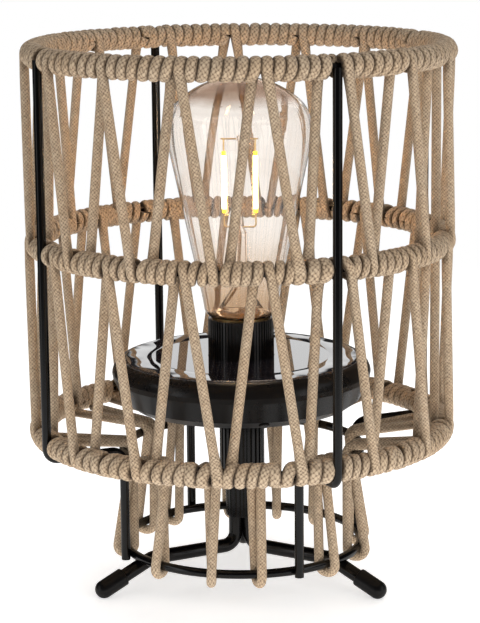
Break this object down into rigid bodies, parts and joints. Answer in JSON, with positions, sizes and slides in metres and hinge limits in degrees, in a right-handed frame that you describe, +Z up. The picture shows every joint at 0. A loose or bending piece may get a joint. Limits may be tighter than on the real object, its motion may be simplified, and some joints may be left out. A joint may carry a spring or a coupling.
{
  "type": "solar table lamp",
  "caption": "Solar table lamp with a round black wire cage wound and laced in rope, a clear filament bulb on a round solar head, and rod legs with rubber tips.",
  "frame": {"origin": "centre of the footprint, on the surface the feet stand on", "axes": "+Z up along the lamp's axis, -Y to the front, +X to the right of the picture"},
  "size_m": [0.1908, 0.1908, 0.2439],
  "materials": {
    "black_wire": "satin",
    "rope": "matte",
    "tip_rubber": "matte",
    "gasket_rubber": "matte",
    "black_plastic": "satin",
    "clear_cover": "gloss",
    "cell_dark": "gloss",
    "contact_brass": "polished",
    "cap_metal": "satin",
    "amber_glass": "gloss",
    "clear_glass": "gloss",
    "filament_coat": "matte",
    "support_steel": "satin",
    "screw_steel": "satin",
    "battery_sleeve": "gloss",
    "board_green": "gloss"
  },
  "bodies": {
    "cage": {"top_ring": "black_wire", "middle_ring": "black_wire", "bottom_ring": "black_wire", "neck_ring": "black_wire", "base_ring": "black_wire", "front_left_rod": "black_wire", "front_right_rod": "black_wire", "back_right_rod": "black_wire", "back_left_rod": "black_wire", "left_leg": "black_wire", "right_leg": "black_wire", "back_leg": "black_wire", "left_foot_tip": "tip_rubber", "right_foot_tip": "tip_rubber", "back_foot_tip": "tip_rubber", "top_winding": "rope", "middle_winding": "rope", "bottom_winding": "rope", "front_upper_lacing": "rope", "front_lower_lacing": "rope", "front_neck_lacing": "rope", "right_upper_lacing": "rope", "right_lower_lacing": "rope", "right_neck_lacing": "rope", "back_upper_lacing": "rope", "back_lower_lacing": "rope", "back_neck_lacing": "rope", "left_upper_lacing": "rope", "left_lower_lacing": "rope", "left_neck_lacing": "rope"},
    "lamp_head": {"upper_shell": "black_plastic", "lower_shell": "black_plastic", "shell_gasket": "gasket_rubber", "solar_cover": "clear_cover", "solar_cells": "cell_dark", "ribbed_collar": "black_plastic", "post_sleeve": "black_plastic", "bulb_socket": "black_plastic", "lamp_contact": "contact_brass", "lamp_base": "cap_metal", "bulb_glass": "amber_glass", "bulb_mount": "clear_glass", "left_filament": "filament_coat", "right_filament": "filament_coat", "filament_supports": "support_steel", "housing_screws": "screw_steel", "battery": "battery_sleeve", "circuit_board": "board_green", "board_parts": "black_plastic", "button_switch": "black_plastic"},
    "button": {"power_button": "black_plastic"}
  },
  "joints": [
    {"name": "head_lift", "type": "slide", "parent": "cage", "child": "lamp_head", "axis": [0, 0, 1], "range_m": [0, 0.222]},
    {"name": "button_press", "type": "slide", "parent": "lamp_head", "child": "button", "axis": [-0.1255, 0.5571, 0.8209], "range_m": [0, 0.0008], "stiffness_N_per_m": 800}
  ]
}
